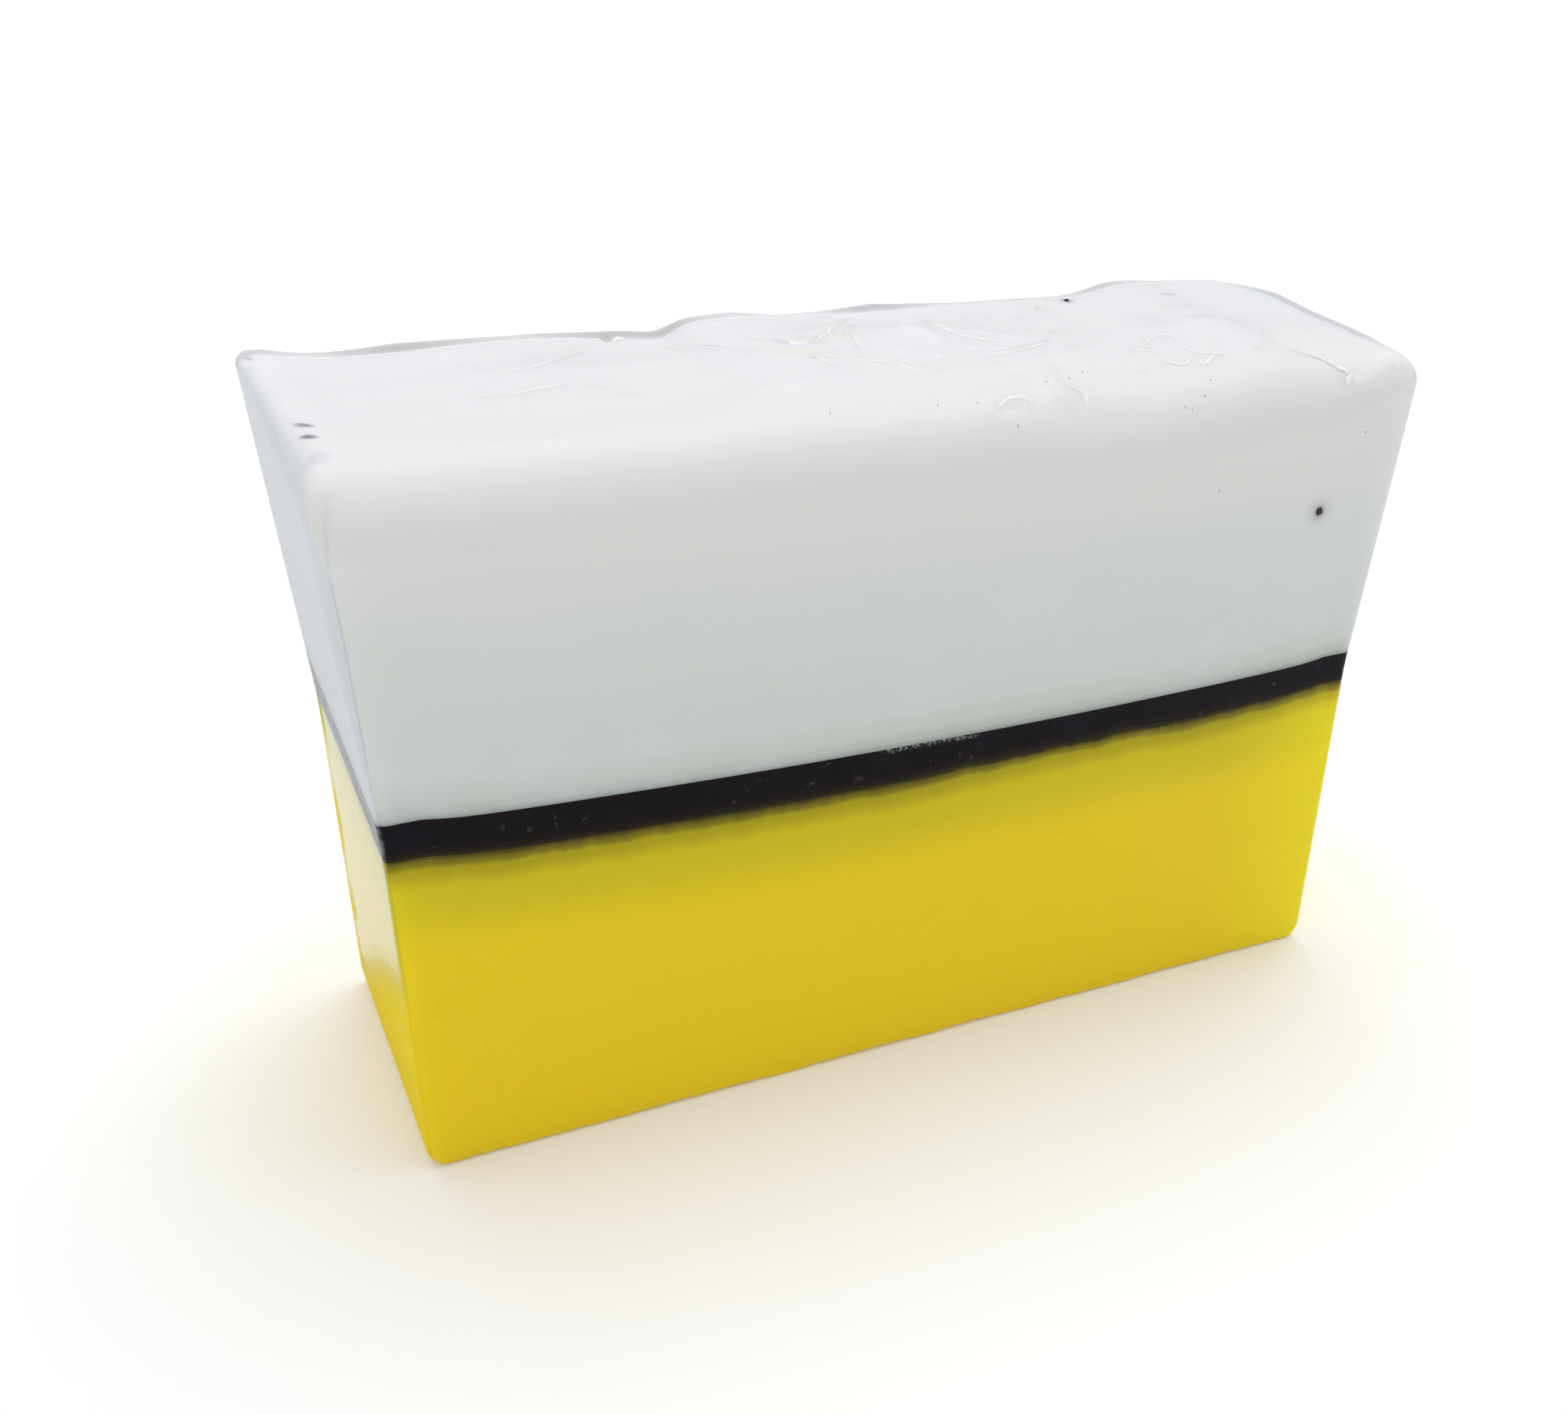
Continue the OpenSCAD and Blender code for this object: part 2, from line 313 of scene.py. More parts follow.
def blurred(values, sigma, axis):
    """Gaussian blur of a grid along an axis, in cells, with the edge cells repeated."""
    reach = int(3 * sigma) + 1
    weights = np.exp(-0.5 * (np.arange(-reach, reach + 1) / sigma) ** 2)
    weights /= weights.sum()
    pad = [(0, 0), (0, 0)]
    pad[axis] = (reach, reach)
    wide = np.pad(values, pad, mode="edge")
    size = values.shape[axis]
    return sum(w * np.take(wide, range(k, k + size), axis) for k, w in enumerate(weights))


# How far in the CAD top's own rounded edges reach, along X and along Y
CAD_EDGE_X = (1.5 * MM, 1.9 * MM)
CAD_EDGE_Y = (3.1 * MM, 1.0 * MM)
TOP_STEP = 0.4 * MM  # spacing of the heights that are read from the CAD top
TOP_BLUR = 1.8  # how many of those steps the smoothing spreads over


def cad_top():
    """Height of the CAD top over a regular grid, without its rounded edges, smoothed over its facets."""
    step = TOP_STEP
    xs = np.arange(-LEFT + CAD_EDGE_X[0], RIGHT - CAD_EDGE_X[1], step)
    ys = np.arange(-HALF_T, HALF_T + step / 2, step)
    kept = ys[(ys >= -HALF_T + CAD_EDGE_Y[0]) & (ys <= HALF_T - CAD_EDGE_Y[1])]
    grid = np.zeros((len(ys), len(xs)))
    for a, x in enumerate(xs):
        column = np.array([height("white_top_layer", x, y) for y in kept])
        slope = (column[-1] - column[0]) / (kept[-1] - kept[0])
        inside = np.interp(ys, kept, column)
        grid[:, a] = inside + slope * (np.minimum(ys - kept[0], 0) + np.maximum(ys - kept[-1], 0))
    for centre, radius in CRUMBS:
        near = np.hypot(xs[None, :] - centre.x, ys[:, None] - centre.y) < radius + 2 * step
        if abs(centre.y + HALF_T) > radius:
            ring = np.hypot(xs[None, :] - centre.x, ys[:, None] - centre.y) < radius + 5 * step
            grid[near] = grid[ring & ~near].mean()
    grid = blurred(blurred(grid, TOP_BLUR, 0), TOP_BLUR, 1)
    return xs, ys, grid


TOP_XS, TOP_YS, TOP_GRID = cad_top()


def cad_height(x, y):
    """The smoothed CAD top at arrays of points."""
    u = np.clip((x - TOP_XS[0]) / (TOP_XS[1] - TOP_XS[0]), 0, len(TOP_XS) - 1.001)
    v = np.clip((y - TOP_YS[0]) / (TOP_YS[1] - TOP_YS[0]), 0, len(TOP_YS) - 1.001)
    i, j = u.astype(int), v.astype(int)
    u, v = u - i, v - j
    front = TOP_GRID[j, i] * (1 - u) + TOP_GRID[j, i + 1] * u
    back = TOP_GRID[j + 1, i] * (1 - u) + TOP_GRID[j + 1, i + 1] * u
    return front * (1 - v) + back * v


# ---------------------------------------------------------------- hand-spread relief of the top


def curve(points, steps=12):
    """A smooth line through given points in mm, as an array in metres (Catmull-Rom)."""
    p = np.array(points, float) * MM
    p = np.vstack([2 * p[0] - p[1], p, 2 * p[-1] - p[-2]])
    out = []
    for k in range(1, len(p) - 2):
        for t in np.linspace(0, 1, steps, endpoint=False):
            out.append(0.5 * (2 * p[k] + (p[k + 1] - p[k - 1]) * t
                              + (2 * p[k - 1] - 5 * p[k] + 4 * p[k + 1] - p[k + 2]) * t ** 2
                              + (3 * p[k] - p[k - 1] - 3 * p[k + 1] + p[k + 2]) * t ** 3))
    out.append(p[-2])
    return np.array(out)


def along(line, x, y):
    """For points x, y: share of the way along a line, and distance to its left (negative to its right)."""
    best = np.full(x.shape, np.inf)
    share = np.zeros(x.shape)
    side = np.zeros(x.shape)
    count = len(line) - 1
    for k in range(count):
        a, b = line[k, :2], line[k + 1, :2]
        d = b - a
        t = np.clip(((x - a[0]) * d[0] + (y - a[1]) * d[1]) / max(d @ d, 1e-18), 0, 1)
        dx, dy = x - (a[0] + t * d[0]), y - (a[1] + t * d[1])
        distance = np.hypot(dx, dy)
        closer = distance < best
        best = np.where(closer, distance, best)
        share = np.where(closer, (k + t) / count, share)
        side = np.where(closer, np.sign(d[0] * dy - d[1] * dx), side)
    return share, best * side


# Smears left by the spatula, as (points in mm, height, width, fade). The soap is higher on the line's left
# side and falls away over the fade; on its right the step is one width wide.
STEPS = [
    ([(-12.8, 10.0), (-9.2, 6.7), (-6.3, 2.3), (-3.6, 0.4), (-1.1, 0.0), (0.8, -0.9), (2.2, -2.3),
      (3.6, -3.9), (6.3, -4.9)], -0.34, 0.16, 3.5),
    ([(-5.0, 5.1), (-3.4, 4.1), (-1.8, 3.6), (-0.3, 5.4), (3.1, 8.6), (4.9, 10.2)], 0.3, 0.18, 2.5),
    ([(-3.9, -0.5), (-2.9, -1.4), (-1.5, -1.7)], -0.12, 0.12, 1.0),
    ([(3.8, 8.7), (1.6, 5.0), (1.3, 2.6), (1.1, 0.5)], 0.25, 0.25, 1.6),
    ([(8.6, 8.4), (9.3, 5.4), (9.8, 3.0), (11.0, 2.0), (12.9, 0.7), (15.6, 0.1)], 0.28, 0.2, 2.0),
    ([(8.2, 0.5), (9.4, -0.4), (10.4, -1.2), (11.8, -1.2), (13.4, -0.7), (15.1, -0.2), (17.0, 0.6),
      (19.0, 0.4)], 0.3, 0.22, 2.5),
    ([(-28.2, 3.4), (-25.5, 3.7), (-23.0, 4.1), (-20.1, 5.8), (-16.8, 9.2), (-14.8, 10.5)], 0.1, 0.22, 2.0),
    ([(-27.5, 1.1), (-25.5, 1.0), (-22.9, 1.4), (-19.5, 0.8), (-16.2, 0.4)], 0.08, 0.2, 1.5),
    ([(31.0, -5.6), (32.6, -6.5), (34.0, -7.9), (34.8, -9.8), (35.5, -10.8), (35.6, -11.6)],
     -0.35, 0.2, 2.0),
    ([(10.6, -7.2), (12.0, -7.9), (13.1, -8.4), (13.6, -9.4), (13.4, -10.8)], 0.25, 0.2, 1.6),
]

# Ridges and grooves, as (points in mm, height, width)
RIDGES = [
    ([(-15.7, -3.0), (-12.5, -1.7), (-7.9, -1.5), (-4.0, -2.0)], -0.12, 1.3),
    ([(-33.0, -2.0), (-26.0, -3.2), (-18.0, -3.4), (-9.0, -5.0)], -0.1, 1.8),
    ([(-24.5, -0.6), (-19.0, -1.6), (-11.0, -2.6)], 0.1, 0.9),
    ([(10.2, -9.0), (11.6, -8.8), (12.8, -9.6)], 0.25, 1.1),
    ([(5.6, -9.8), (6.8, -9.6), (8.6, -9.8)], -0.16, 0.4),
    ([(-14.9, 11.6), (-14.6, 10.2)], -0.3, 0.4),
    ([(-40.2, 12.0), (-40.1, 10.9), (-39.7, 9.2)], -0.35, 0.35),
    ([(13.7, -4.3), (13.2, -7.5)], -0.18, 0.9),
    ([(5.5, 5.5), (7.2, 3.2), (8.2, 1.2)], 0.3, 0.8),
    ([(2.8, 1.2), (4.6, 0.2), (7.0, -1.4)], 0.22, 0.5),
]


ROUGH_X = (-12 * MM, 36 * MM)  # between these places the top is also lumpy
ROUGH_FADE = 10 * MM


def relief(x, y):
    """Height that the spatula's marks add to the top."""
    total = np.zeros(x.shape)
    for points, tall, width, fade in STEPS:
        share, side = along(curve(points), x, y)
        taper = smooth(share / 0.2) * smooth((1 - share) / 0.2)
        rise = smooth(0.5 + side / (2 * width * MM)) * np.exp(-np.maximum(side, 0) / (fade * MM))
        total += tall * MM * taper * rise
    for points, tall, width in RIDGES:
        share, side = along(curve(points), x, y)
        taper = smooth(share / 0.25) * smooth((1 - share) / 0.25)
        total += tall * MM * taper * np.exp(-(side / (width * MM)) ** 2)
    rough = smooth((x - ROUGH_X[0]) / ROUGH_FADE) * smooth((ROUGH_X[1] - x) / ROUGH_FADE)
    lumps = 0.10 * MM * cloud(x, y * 1.6, 0 * x, 3.2 * MM, 5.5)
    grit = 0.05 * MM * cloud(x, y, 0 * x, 1.2 * MM, 8.5)
    strokes = 0.05 * MM * cloud(x * 0.4, y * 1.5, 0 * x, 3.5 * MM, 2.5)
    return total + rough * (lumps + grit) + strokes


def lip_share(distance):
    """How much of the raised lip there is at a distance from the edge it runs along."""
    return smooth((LIP_WIDTH - distance) / (0.3 * LIP_WIDTH))


def lip(x, y):
    """Height of the thin lip along the top's back edge and right end."""
    back = by_hand(BACK_LIP, x) * lip_share(HALF_T - y)
    right = by_hand(RIGHT_LIP, y) * lip_share(RIGHT - x)
    return np.maximum(back, right)


def top_surface(x, y):
    """Height of the finished top at grid places."""
    from_ends = np.minimum(x + LEFT, RIGHT - x)
    from_cuts = np.minimum(y + HALF_T, HALF_T - y)
    settle = smooth(from_ends / SETTLE[0]) * smooth(from_cuts / SETTLE[1])
    z = cad_height(x, y) + relief(x, y) * settle + lip(x, y)
    z -= by_hand(FRONT_SAG, x) * smooth((SAG_Y[1] - y) / (SAG_Y[1] - SAG_Y[0]))
    over_cut = edge_drop(y + HALF_T, by_hand(FRONT_ROUND, x)) + edge_drop(HALF_T - y, BACK_ROUND)
    over_end = edge_drop(x + LEFT, left_round(y)) + edge_drop(RIGHT - x, RIGHT_ROUND)
    return np.minimum(z - np.hypot(over_cut, over_end), TOP_Z)


def top_place(x, y):
    """Place on the finished top for grid places x, y."""
    z = top_surface(x, y)
    px, py = rounded(x, y, z)
    return px, py, z


grid_x, grid_y = np.meshgrid(column_x, row_y)  # [row, column]
top_x, top_y, grid_z = top_place(grid_x, grid_y)
top_rim = grid_z[rim_j, rim_i]


# ---------------------------------------------------------------- meshes

SHARP_ANGLE = math.radians(40)


def object_from(name, vertices, faces, material, attributes=None):
    """A smooth-shaded object with sharp edges where its faces turn by more than the sharp angle."""
    mesh = bpy.data.meshes.new(name)
    mesh.from_pydata([tuple(v) for v in vertices], [], faces)
    mesh.validate()
    for label, values in (attributes or {}).items():
        layer = mesh.attributes.new(label, "FLOAT", "POINT")
        layer.data.foreach_set("value", np.asarray(values, np.float32))
    mesh.shade_smooth()
    mesh.set_sharp_from_angle(angle=SHARP_ANGLE)
    mesh.materials.append(material)
    piece = bpy.data.objects.new(name, mesh)
    bpy.context.scene.collection.objects.link(piece)
    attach(piece, "root")
    return piece


def wall(levels):
    """Rings of points up the outside, one ring for each array of heights, as an array [ring, place, xyz]."""
    x, y = column_x[rim_i], row_y[rim_j]
    rings = []
    for z in levels:
        px, py = wall_point(x, y, z)
        rings.append(np.stack([px, py, z], -1))
    return np.array(rings)


def ring_faces(rings, n, first=0):
    """Faces between neighbouring rings of n points each."""
    faces = []
    for ring in range(first, first + (rings - 1) * n, n):
        faces += [(ring + k, ring + (k + 1) % n, ring + n + (k + 1) % n, ring + n + k) for k in range(n)]
    return faces


def cap_faces(first, up):
    """A cap over a ring of the wall: strips from front to back, with one wider face along each end."""
    n = len(RIM)
    back = [NX + NY - 2 + (NX - 1 - i) for i in range(NX)]  # the place on the rim behind front column i
    strips = [(first + i, first + i + 1, first + back[i + 1], first + back[i]) for i in range(1, NX - 2)]
    right = [first + k for k in range(NX - 2, NX + NY - 1)] + [first + back[NX - 2]]
    left = [first + k % n for k in range(back[1], n + 2)]
    faces = strips + [tuple(right), tuple(left)]
    return faces if up else [tuple(reversed(f)) for f in faces]


def between(lower, upper, shares):
    """Arrays of heights from lower to upper, one for each share of the way."""
    return [lower + (upper - lower) * s for s in shares]


def yellow_layer(material):
    """The base: rings close together over its rounded foot, then evenly up to the band."""
    arcs = BASE_END_R * (1 - np.cos(np.linspace(0, math.pi / 2, FOOT_RINGS)))
    foot = [np.full(len(RIM), low.z + a) for a in arcs]
    levels = foot + between(foot[-1], yellow_rim, np.linspace(0, 1, YELLOW_RINGS + 1)[1:])
    rings = wall(levels)
    count = len(rings)
    faces = ring_faces(count, len(RIM)) + cap_faces(0, False) + cap_faces((count - 1) * len(RIM), True)
    below = (yellow_rim[None, :] - np.array(levels)) / MM
    return object_from("yellow_soap_base", rings.reshape(-1, 3), faces, material,
                       {"below_band": below.ravel()})


def black_layer(material):
    """The thin band. It keeps its distance from both its neighbours, for the material."""
    levels = between(yellow_rim, black_rim, np.linspace(0, 1, BLACK_RINGS))
    rings = wall(levels)
    count = len(rings)
    faces = ring_faces(count, len(RIM)) + cap_faces(0, False) + cap_faces((count - 1) * len(RIM), True)
    up = (np.array(levels) - yellow_rim[None, :]) / MM
    down = (black_rim[None, :] - np.array(levels)) / MM
    return object_from("black_soap_band", rings.reshape(-1, 3), faces, material,
                       {"above_yellow": up.ravel(), "below_white": down.ravel()})


def white_layer(material):
    """The last pour: a wall with rings closer together near the top, and the spread top on the same rim."""
    shares = 1 - (1 - np.linspace(0, 1, WHITE_RINGS)) ** 1.35
    levels = between(black_rim, top_rim, shares)
    rings = wall(levels)
    rings, rim_ring = rings[:-1], rings[-1]
    n = len(RIM)
    top_x[rim_j, rim_i] = rim_ring[:, 0]
    top_y[rim_j, rim_i] = rim_ring[:, 1]
    first_top = len(rings) * n
    vertices = np.vstack([rings.reshape(-1, 3), np.stack([top_x, top_y, grid_z], -1).reshape(-1, 3)])

    def on_top(i, j):
        return first_top + j * NX + i

    faces = ring_faces(len(rings), n) + cap_faces(0, False)
    last = first_top - n
    for k in range(n):
        (i, j), (i2, j2) = RIM[k], RIM[(k + 1) % n]
        faces.append((last + k, last + (k + 1) % n, on_top(i2, j2), on_top(i, j)))
    faces += [(on_top(i, j), on_top(i + 1, j), on_top(i + 1, j + 1), on_top(i, j + 1))
              for j in range(NY - 1) for i in range(NX - 1)]
    above_wall = (np.array(levels[:-1]) - black_rim[None, :]) / MM
    above_top = (grid_z - black_rim.mean()) / MM
    above = np.concatenate([above_wall.ravel(), above_top.ravel()])
    # painted shade: how much of the lip grey each point gets, by how high the lip stands
    lip_painted_shade = np.clip(lip(grid_x, grid_y) / SHADED_LIP, 0, 1)
    shade = np.concatenate([np.zeros(first_top), lip_painted_shade.ravel()])
    return object_from("white_soap_top", vertices, faces, material, {"above_band": above, "lip": shade})


# Thin skins and crests that stand up from the spread top, as (points, height, half width) in mm
FOLDS = [
    ([(-7.1, 8.4), (-4.7, 5.5), (-3.1, 3.8), (-1.7, 3.6), (0.1, 5.4), (1.9, 7.4), (4.7, 10.2)], 0.05, 0.12),
    ([(4.3, 9.4), (1.7, 3.8), (1.2, 1.5)], 0.04, 0.1),
    ([(-0.7, 4.5), (-0.6, 2.6), (-0.5, 1.9)], 0.04, 0.09),
    ([(-12.6, 11.0), (-11.1, 9.5), (-9.2, 6.8), (-6.1, 2.2), (-4.2, 0.9), (-2.7, -0.2), (-1.9, -1.6)],
     0.04, 0.11),
    ([(-3.1, 1.3), (-1.5, 1.1), (0.6, 0.3), (2.5, -1.0), (3.9, -3.5), (5.0, -4.8)], 0.04, 0.11),
    ([(9.2, 8.0), (9.3, 4.3), (9.8, 2.6), (10.9, 1.3), (12.7, 0.4)], 0.05, 0.13),
    ([(9.5, -0.4), (10.3, -1.4), (11.9, -1.4), (14.6, -0.6), (16.4, 0.0)], 0.04, 0.11),
    ([(19.1, 7.2), (19.8, 8.3), (21.1, 9.7), (21.1, 8.8), (19.8, 7.2)], 0.05, 0.07),
    ([(12.0, -7.9), (13.1, -8.4), (13.5, -9.1), (13.3, -9.7)], 0.05, 0.12),
    ([(22.3, -3.4), (23.8, -2.1), (25.0, -2.2), (25.3, -3.2), (25.0, -3.8)], 0.06, 0.12),
    ([(20.6, -3.6), (21.1, -4.2), (21.9, -4.6), (22.3, -5.3)], 0.05, 0.1),
    ([(22.1, -6.0), (22.3, -6.4), (22.9, -6.9), (23.6, -6.9), (24.0, -6.4)], 0.07, 0.13),
    ([(24.3, -7.0), (24.9, -7.3), (25.7, -6.9), (26.1, -6.6)], 0.07, 0.13),
    ([(24.5, -4.6), (25.1, -5.8), (26.2, -6.4), (27.0, -7.2)], 0.05, 0.11),
    ([(32.6, -6.5), (34.0, -7.9), (34.8, -10.0), (35.4, -10.6), (35.5, -10.9), (35.1, -11.2),
      (34.7, -11.4)], 0.09, 0.15),
    ([(34.9, -9.7), (35.4, -10.0), (35.6, -10.7)], 0.08, 0.14),
    ([(38.7, -11.3), (39.1, -11.3), (39.2, -11.6), (39.8, -11.2)], 0.04, 0.07),
    ([(29.1, -7.2), (30.0, -6.8)], 0.05, 0.08),
    ([(27.7, -4.5), (27.1, -5.5)], 0.05, 0.08),
    ([(19.5, -6.8), (20.1, -6.8)], 0.05, 0.08),
    ([(-25.9, 4.4), (-22.7, 4.3), (-19.6, 6.5), (-15.9, 10.2)], 0.03, 0.09),
    ([(-28.1, 0.8), (-25.0, 0.6), (-21.9, 1.2), (-19.2, 1.2), (-15.7, -1.2)], 0.03, 0.09),
    ([(-39.2, 10.9), (-33.0, 11.2), (-23.8, 11.2), (-18.1, 11.2), (-15.1, 11.2), (-14.7, 10.5)], 0.04, 0.1),
    ([(-14.7, 10.5), (-14.0, 11.2), (-13.3, 11.0), (-12.6, 10.9)], 0.1, 0.2),
    ([(-10.7, 10.8), (-9.0, 11.2), (-5.5, 11.2), (-2.2, 11.0), (-0.2, 10.2), (3.0, 10.6), (4.8, 11.2)],
     0.04, 0.1),
    ([(6.2, -9.4), (6.7, -9.2), (7.6, -8.8), (8.7, -9.1), (9.1, -9.8)], 0.06, 0.12),
    ([(18.0, 11.2), (27.0, 11.2), (36.0, 11.2)], 0.04, 0.08),
    ([(39.5, 10.0), (39.6, 2.0), (39.5, -7.0)], 0.04, 0.08),
]


FOLD_SIDES = 8  # sides of a ribbon's section
FOLD_END = 0.15  # share of a ribbon's length over which each end gets thinner
RAGGED = 0.9 * MM  # a ribbon's width and height vary over lengths like this


def fold_pieces(material):
    """The thin crests: closed ribbons, half sunk in the top, that get thinner towards their ends."""
    around = np.linspace(0, 2 * math.pi, FOLD_SIDES, endpoint=False)
    vertices, faces = [], []
    for number, (points, tall, half_width) in enumerate(FOLDS):
        line = curve(points, 16)
        way = np.gradient(line, axis=0)
        way /= np.maximum(np.linalg.norm(way, axis=1), 1e-12)[:, None]
        share = np.linspace(0, 1, len(line))
        ragged = 1 + 0.6 * cloud(line[:, 0], line[:, 1], 0 * share, RAGGED, number * 3.7)
        taper = np.clip(smooth(share / FOLD_END) * smooth((1 - share) / FOLD_END) * ragged, 0.05, 2)
        across = np.cos(around)[None, :] * (half_width * MM * taper)[:, None]
        up = np.sin(around)[None, :] * (tall * MM * taper)[:, None]
        x, y, z = top_place(line[:, :1] - way[:, 1:] * across, line[:, 1:] + way[:, :1] * across)
        first, n = len(vertices), len(around)
        vertices += list(np.stack([x, y, z + up], -1).reshape(-1, 3))
        faces += ring_faces(len(line), n, first)
        faces.append(tuple(first + k for k in reversed(range(n))))
        faces.append(tuple(first + (len(line) - 1) * n + k for k in range(n)))
    return object_from("white_soap_folds", vertices, faces, material)


UNDER_SKIN = (0, 1, 3)  # crumbs, from left to right, that only show as a stain in the soap over them
TOP_CRUMB_SIZE = 0.65  # share of a top crumb's radius that is left: the soap closes over the rest
CUT_CRUMB_INSET = 0.02 * MM  # the crumb that the wire cut ends this far inside the front
HIDDEN_SINK, SHOWN_SINK = 1.5, 0.5  # how many radii a crumb's middle lies below the top's skin


def crumb_pieces(material):
    """The crumbs: lumpy bits of black soap, half sunk in the white soap or just under its skin."""
    bm = bmesh.new()
    for number, (centre, radius) in enumerate(CRUMBS):
        middle = centre.copy()
        on_cut = abs(centre.y + HALF_T) < 2 * radius
        if not on_cut:
            radius *= TOP_CRUMB_SIZE
            skin = float(top_surface(np.array([centre.x]), np.array([centre.y]))[0])
            middle.z = skin - radius * (HIDDEN_SINK if number in UNDER_SKIN else SHOWN_SINK)
        for vert in bmesh.ops.create_icosphere(bm, subdivisions=4, radius=radius)["verts"]:
            lump = 1 + 0.16 * noise.noise(vert.co / (0.55 * radius) + Vector((number * 7.3, 1.7, 4.1)))
            lump += 0.05 * noise.noise(vert.co / (0.2 * radius) + Vector((number * 3.1, 8.2, 2.6)))
            vert.co = vert.co * lump + middle
            if on_cut:
                vert.co.y = max(vert.co.y, -HALF_T + CUT_CRUMB_INSET)
    mesh = bpy.data.meshes.new("black_soap_crumb_pieces")
    bm.to_mesh(mesh)
    bm.free()
    mesh.shade_smooth()
    mesh.materials.append(material)
    piece = bpy.data.objects.new("black_soap_crumb_pieces", mesh)
    bpy.context.scene.collection.objects.link(piece)
    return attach(piece, "root")


# ---------------------------------------------------------------- materials


class Nodes:
    """A material's node tree, with short names for what the soaps use."""

    def __init__(self, name):
        self.material = bpy.data.materials.new(name)
        self.material.use_nodes = True
        self.tree = self.material.node_tree
        self.shader = self.tree.nodes["Principled BSDF"]
        self.place = self.new("ShaderNodeTexCoord").outputs["Object"]

    def new(self, kind, **values):
        node = self.tree.nodes.new(kind)
        for key, value in values.items():
            setattr(node, key, value)
        return node

    def link(self, source, target):
        self.tree.links.new(source, target)

    def place_along(self, axis):
        parts = self.new("ShaderNodeSeparateXYZ")
        self.link(self.place, parts.inputs["Vector"])
        return parts.outputs[axis]

    def attribute(self, name):
        return self.new("ShaderNodeAttribute", attribute_name=name).outputs["Fac"]

    def noise(self, scale, detail=3.0, roughness=0.55, stretch=(1, 1, 1)):
        mapping = self.new("ShaderNodeMapping")
        mapping.inputs["Scale"].default_value = stretch
        self.link(self.place, mapping.inputs["Vector"])
        texture = self.new("ShaderNodeTexNoise")
        texture.inputs["Scale"].default_value = scale
        texture.inputs["Detail"].default_value = detail
        texture.inputs["Roughness"].default_value = roughness
        self.link(mapping.outputs["Vector"], texture.inputs["Vector"])
        return texture.outputs["Fac"]

    def ramp(self, value, stops, from_range=(0, 1)):
        """Colours along a value, as (position in the range, colour)."""
        span = from_range[1] - from_range[0]
        scaled = self.map_range(value, from_range, (0, 1), "LINEAR")
        node = self.new("ShaderNodeValToRGB")
        elements = node.color_ramp.elements
        while len(elements) < len(stops):
            elements.new(0.5)
        for element, (position, colour) in zip(elements, stops):
            element.position = (position - from_range[0]) / span
            element.color = (*colour, 1)
        node.color_ramp.interpolation = "EASE"
        self.link(scaled, node.inputs["Fac"])
        return node.outputs["Color"]

    def map_range(self, value, source, target, kind="SMOOTHSTEP"):
        node = self.new("ShaderNodeMapRange", interpolation_type=kind)
        self.link(value, node.inputs["Value"])
        for key, number in zip(("From Min", "From Max", "To Min", "To Max"), (*source, *target)):
            node.inputs[key].default_value = number
        return node.outputs["Result"]

    def hill(self, value, start, end, soft):
        """1 between start and end, and down to 0 over soft on each side."""
        rise = self.map_range(value, (start - soft, start), (0, 1))
        fall = self.map_range(value, (end, end + soft), (1, 0))
        return self.math("MULTIPLY", rise, fall)

    def spot(self, centre, radii, turn, strength):
        """A soft oval spot, turned about Z by degrees: strength in its middle, 0 outside its radii in mm."""
        mapping = self.new("ShaderNodeMapping", vector_type="TEXTURE")
        mapping.inputs["Location"].default_value = centre
        mapping.inputs["Rotation"].default_value = (0, 0, math.radians(turn))
        mapping.inputs["Scale"].default_value = [r * MM for r in radii]
        self.link(self.place, mapping.inputs["Vector"])
        away = self.new("ShaderNodeVectorMath", operation="LENGTH")
        self.link(mapping.outputs["Vector"], away.inputs[0])
        return self.map_range(away.outputs["Value"], (1, 0.2), (0, strength))

    def math(self, operation, a, b):
        node = self.new("ShaderNodeMath", operation=operation)
        for socket, value in zip(node.inputs, (a, b)):
            if isinstance(value, (int, float)):
                socket.default_value = value
            else:
                self.link(value, socket)
        return node.outputs["Value"]

    def mix(self, factor, a, b):
        """Between the colour a and the colour b, which may be outputs."""
        node = self.new("ShaderNodeMix", data_type="RGBA")
        for socket, value in ((node.inputs[0], factor), (node.inputs[6], a), (node.inputs[7], b)):
            if isinstance(value, tuple):
                socket.default_value = (*value, 1)
            elif isinstance(value, (int, float)):
                socket.default_value = value
            else:
                self.link(value, socket)
        return node.outputs[2]

    def mix_value(self, factor, a, b):
        """Between the number a and the number b, which may be outputs."""
        node = self.new("ShaderNodeMix", data_type="FLOAT")
        for socket, value in ((node.inputs[0], factor), (node.inputs[2], a), (node.inputs[3], b)):
            if isinstance(value, (int, float)):
                socket.default_value = value
            else:
                self.link(value, socket)
        return node.outputs[0]

    def bump(self, heights, strengths, distance):
        """A chain of bumps. Each height has its own strength."""
        normal = None
        for source, strength in zip(heights, strengths):
            node = self.new("ShaderNodeBump")
            node.inputs["Strength"].default_value = strength
            node.inputs["Distance"].default_value = distance
            self.link(source, node.inputs["Height"])
            if normal is not None:
                self.link(normal, node.inputs["Normal"])
            normal = node.outputs["Normal"]
        self.link(normal, self.shader.inputs["Normal"])

    def ends(self):
        """1 on the two ends, which set against the smooth tray, and 0 on the cut faces and the top. The
        soaps use it for the ends' smoother finish and for painted shade and painted reflection on them.
        """
        normal = self.new("ShaderNodeNewGeometry").outputs["Normal"]
        parts = self.new("ShaderNodeSeparateXYZ")
        self.link(normal, parts.inputs["Vector"])
        return self.map_range(self.math("ABSOLUTE", parts.outputs["X"], 0), (0.5, 0.9), (0, 1))

    def left_half(self):
        """1 on the left part of the bar and 0 on the right half. With ends(), it picks the left end."""
        return self.map_range(self.place_along("X"), (0, -30 * MM), (0, 1))


